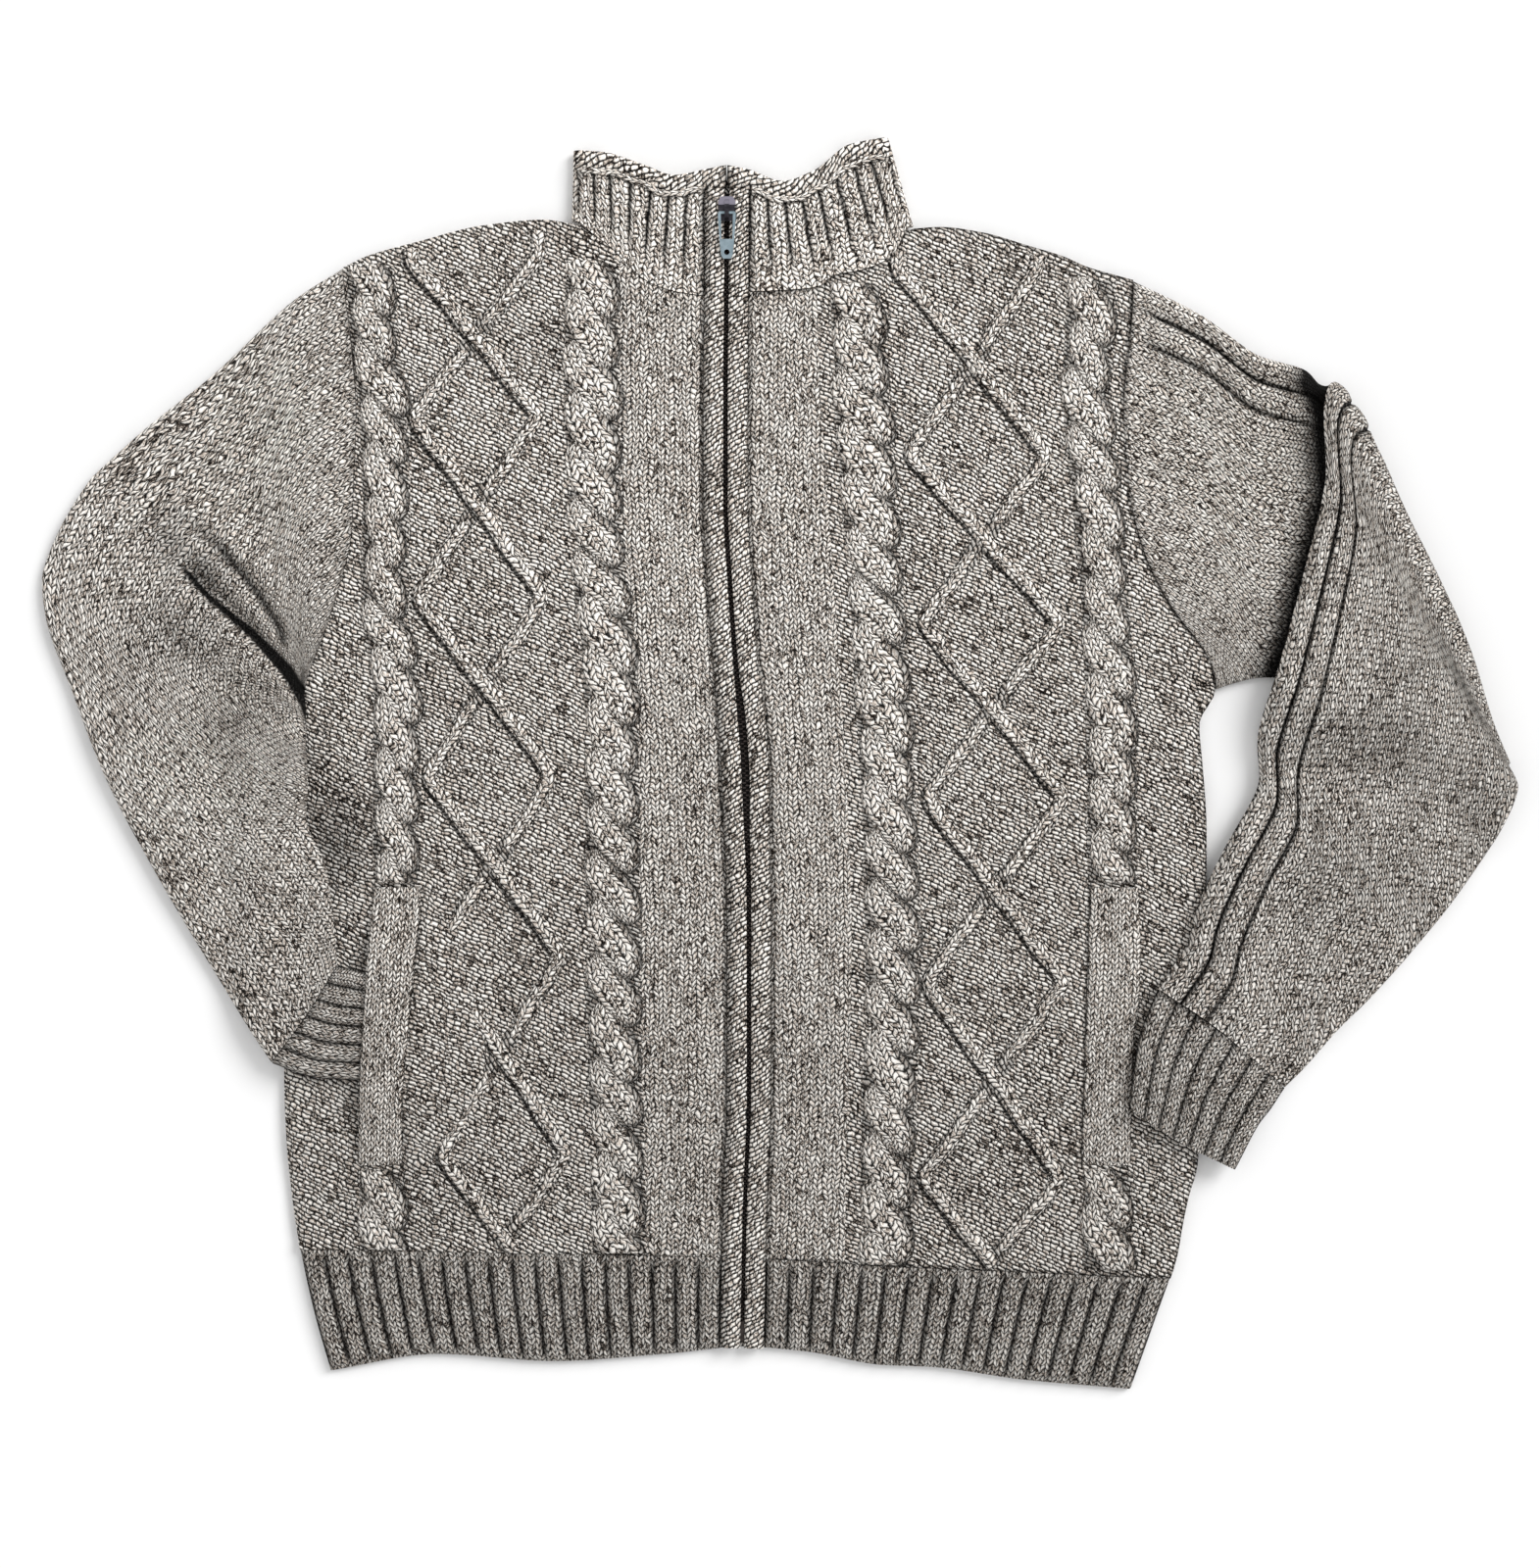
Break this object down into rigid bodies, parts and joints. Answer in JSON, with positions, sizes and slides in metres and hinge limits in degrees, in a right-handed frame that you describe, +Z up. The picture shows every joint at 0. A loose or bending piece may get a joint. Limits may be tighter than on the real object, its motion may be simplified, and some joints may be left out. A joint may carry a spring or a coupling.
{
  "type": "cardigan",
  "caption": "chunky cable-knit cardigan with a stand collar, welt pockets and a full-length zip, closed and laid flat",
  "frame": {"origin": "middle of the bounding box in plan, on the surface that the cardigan lies on", "axes": "+X to the right as seen from above with the collar away from the viewer, +Y to the collar, +Z up"},
  "size_m": [0.8723, 0.7416, 0.0224],
  "materials": {
    "body_knit": "chunky marl wool, cable and purl knit, matt",
    "rib_knit": "marl wool rib, matt",
    "pocket_jersey": "plain thin jersey",
    "tape": "woven zip tape",
    "zip_metal": "dark plated metal, glossy",
    "pull_plate": "polished grey metal with a blue cast"
  },
  "bodies": {
    "root": {"back": "body_knit", "front_left": "body_knit", "front_right": "body_knit", "sleeve_left": "body_knit", "sleeve_right": "body_knit", "collar_rim": "body_knit", "pocket_welt_left": "body_knit", "pocket_welt_right": "body_knit", "zip_band_left": "body_knit", "zip_band_right": "body_knit", "hem_front_left": "rib_knit", "hem_front_right": "rib_knit", "hem_back": "rib_knit", "collar": "rib_knit", "cuff_left": "rib_knit", "cuff_right": "rib_knit", "pocket_lining_left": "pocket_jersey", "pocket_lining_right": "pocket_jersey", "zip_tape_left": "tape", "zip_tape_right": "tape", "zip_chain": "zip_metal", "zip_box": "zip_metal", "zip_slider": "zip_metal"},
    "pull": {"zip_pull": "pull_plate"}
  },
  "joints": [
    {"name": "pull_hinge", "type": "hinge", "parent": "root", "child": "pull", "pos_m": [-0.03012, 0.3252, 0.0122], "axis": [-1, 0, 0], "range_deg": [0, 150]}
  ]
}
